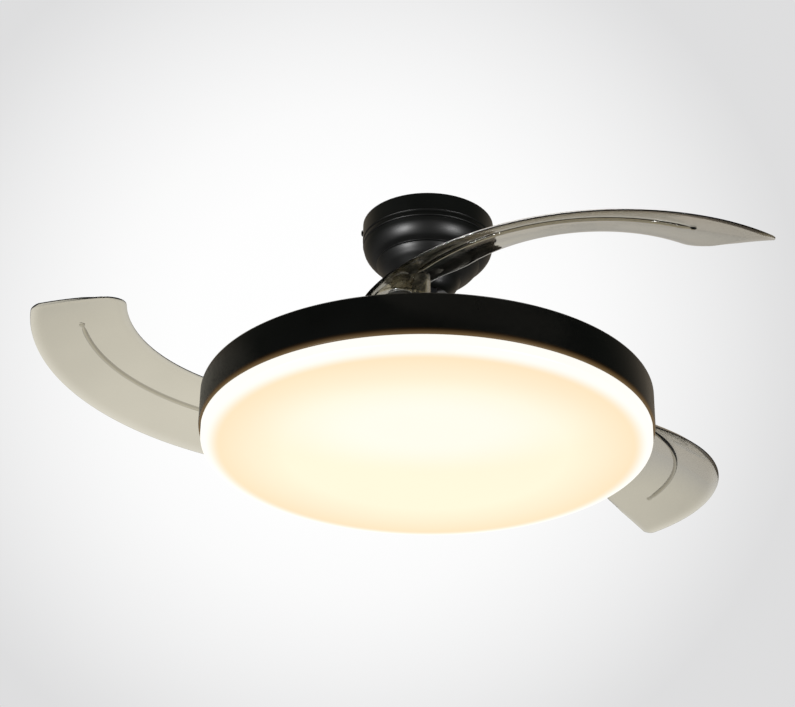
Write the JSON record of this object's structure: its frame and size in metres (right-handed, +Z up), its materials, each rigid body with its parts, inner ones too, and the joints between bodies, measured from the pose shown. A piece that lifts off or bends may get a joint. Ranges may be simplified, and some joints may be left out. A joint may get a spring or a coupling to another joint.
{
  "type": "retractable blade ceiling fan",
  "caption": "Ceiling fan with a round opal lamp in a black ring, a domed black canopy and clear curved blades that fold in above the lamp.",
  "frame": {"origin": "middle of the ceiling bracket's top face, on the ceiling", "axes": "+Z up along the fan's axis, out of the bracket into the ceiling; -Y towards the side the picture was taken from; +X to its right"},
  "size_m": [0.7816, 0.815, 0.29],
  "materials": {
    "black_paint": "satin black paint on pressed steel",
    "black_plastic": "fine matt black moulding",
    "steel": "zinc plated",
    "dark_steel": "dark grey coated steel",
    "laminate": "stacked lamination sheet",
    "copper": "enamelled copper wire",
    "aluminium": "as cast",
    "ferrite": "bonded magnet",
    "rubber": "moulded",
    "clear_blade": "clear smoke tinted polycarbonate, polished",
    "white_board": "white solder mask",
    "white_plastic": "moulded",
    "opal": "opal acrylic, lit warm white"
  },
  "bodies": {
    "mounting": {"ceiling_bracket": "dark_steel", "canopy": "black_paint", "canopy_screw_1": "black_paint", "canopy_screw_2": "black_paint"},
    "lamp_body": {"hanger_ball": "black_plastic", "ball_pin": "steel", "downrod": "dark_steel", "coupler": "dark_steel", "rod_pin": "steel", "shaft_pin": "steel", "coupling_cover": "black_plastic", "motor_shaft": "steel", "stator_core": "laminate", "stator_winding": "copper", "hub_plate": "dark_steel", "shaft_nut": "steel", "lamp_pan": "black_paint", "led_board": "white_board", "led_driver": "white_plastic", "remote_receiver": "black_plastic", "terminal_block": "white_plastic", "diffuser": "opal", "pan_screw_1": "steel", "pan_screw_2": "steel", "pan_screw_3": "steel", "diffuser_clip_1": "steel", "diffuser_clip_2": "steel", "diffuser_clip_3": "steel"},
    "rotor": {"motor_bell": "aluminium", "motor_cover": "aluminium", "magnet_ring": "ferrite", "lower_bearing": "steel", "upper_bearing": "steel", "rotor_screw_1": "steel", "rotor_screw_2": "steel", "rotor_screw_3": "steel", "blade_carrier": "dark_steel", "open_stop_1": "rubber", "fold_stop_1": "rubber", "hinge_pin_1": "steel", "blade_nut_1": "steel", "return_spring_1": "steel", "open_stop_2": "rubber", "fold_stop_2": "rubber", "hinge_pin_2": "steel", "blade_nut_2": "steel", "return_spring_2": "steel", "open_stop_3": "rubber", "fold_stop_3": "rubber", "hinge_pin_3": "steel", "blade_nut_3": "steel", "return_spring_3": "steel"},
    "blade_arm_1": {"blade_1": "clear_blade", "hinge_bush_1": "steel"},
    "blade_arm_2": {"blade_2": "clear_blade", "hinge_bush_2": "steel"},
    "blade_arm_3": {"blade_3": "clear_blade", "hinge_bush_3": "steel"}
  },
  "joints": [
    {"name": "hanger_swing", "type": "hinge", "parent": "mounting", "child": "lamp_body", "pos_m": [0, 0, -0.042], "axis": [1, 0, 0], "range_deg": [-4, 4]},
    {"name": "rotor_spin", "type": "hinge", "parent": "lamp_body", "child": "rotor", "pos_m": [0, 0, -0.201], "axis": [0, 0, 1], "continuous": true},
    {"name": "blade_1_fold", "type": "hinge", "parent": "rotor", "child": "blade_arm_1", "pos_m": [-0.16683, 0.12755, -0.202], "axis": [0, 0, 1], "range_deg": [-35, 55]},
    {"name": "blade_2_fold", "type": "hinge", "parent": "rotor", "child": "blade_arm_2", "pos_m": [-0.02705, -0.20825, -0.202], "axis": [0, 0, 1], "range_deg": [-29.9, 60.1]},
    {"name": "blade_3_fold", "type": "hinge", "parent": "rotor", "child": "blade_arm_3", "pos_m": [0.19387, 0.0807, -0.202], "axis": [0, 0, 1], "range_deg": [0, 90]}
  ]
}
